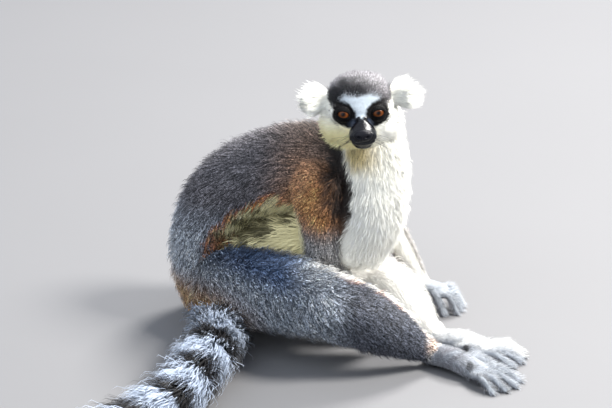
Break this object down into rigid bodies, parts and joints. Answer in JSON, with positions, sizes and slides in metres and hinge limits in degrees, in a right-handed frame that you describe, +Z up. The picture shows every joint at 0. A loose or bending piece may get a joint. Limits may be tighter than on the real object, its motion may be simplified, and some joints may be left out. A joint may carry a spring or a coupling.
{
  "type": "ring-tailed lemur, sitting",
  "caption": "Life-size still model of a sitting ring-tailed lemur: legs forward, hands on the floor, head turned to the viewer, banded tail curving along the floor.",
  "frame": {"origin": "middle of the small flat under the rump, on the floor", "axes": "+Z up; +X the way the feet point; the face looks along -Y; the tail runs towards -Y and then -X"},
  "size_m": [0.5819, 0.4899, 0.2866],
  "materials": {
    "coat_grey": "dense grizzled brownish-grey fur, matt",
    "coat_white": "soft creamy-white fur, matt",
    "coat_ringed": "long shaggy fur in black and white bands, matt",
    "face_dark": "very short black fur over dark skin, slight sheen",
    "nose_skin": "bare moist black skin, satin",
    "eye": "orange iris and black pupil under a wet gloss"
  },
  "bodies": {
    "root": {"breast": "coat_white", "ear_left": "coat_white", "ear_right": "coat_white", "eye_left": "eye", "eye_right": "eye", "foot_left": "coat_white", "foot_right": "coat_white", "forearm_left": "coat_white", "forearm_right": "coat_grey", "hand_left": "coat_white", "hand_right": "coat_white", "head": "coat_white", "jaw": "face_dark", "loin": "coat_grey", "muzzle": "face_dark", "neck": "coat_grey", "nose_pad": "nose_skin", "rump": "coat_grey", "shank_left": "coat_white", "shank_right": "coat_grey", "shoulders": "coat_grey", "tail_1": "coat_ringed", "tail_2": "coat_ringed", "tail_3": "coat_ringed", "tail_4": "coat_ringed", "tail_5": "coat_ringed", "tail_6": "coat_ringed", "thigh_left": "coat_white", "thigh_right": "coat_grey", "upper_arm_left": "coat_white", "upper_arm_right": "coat_grey"}
  },
  "joints": []
}
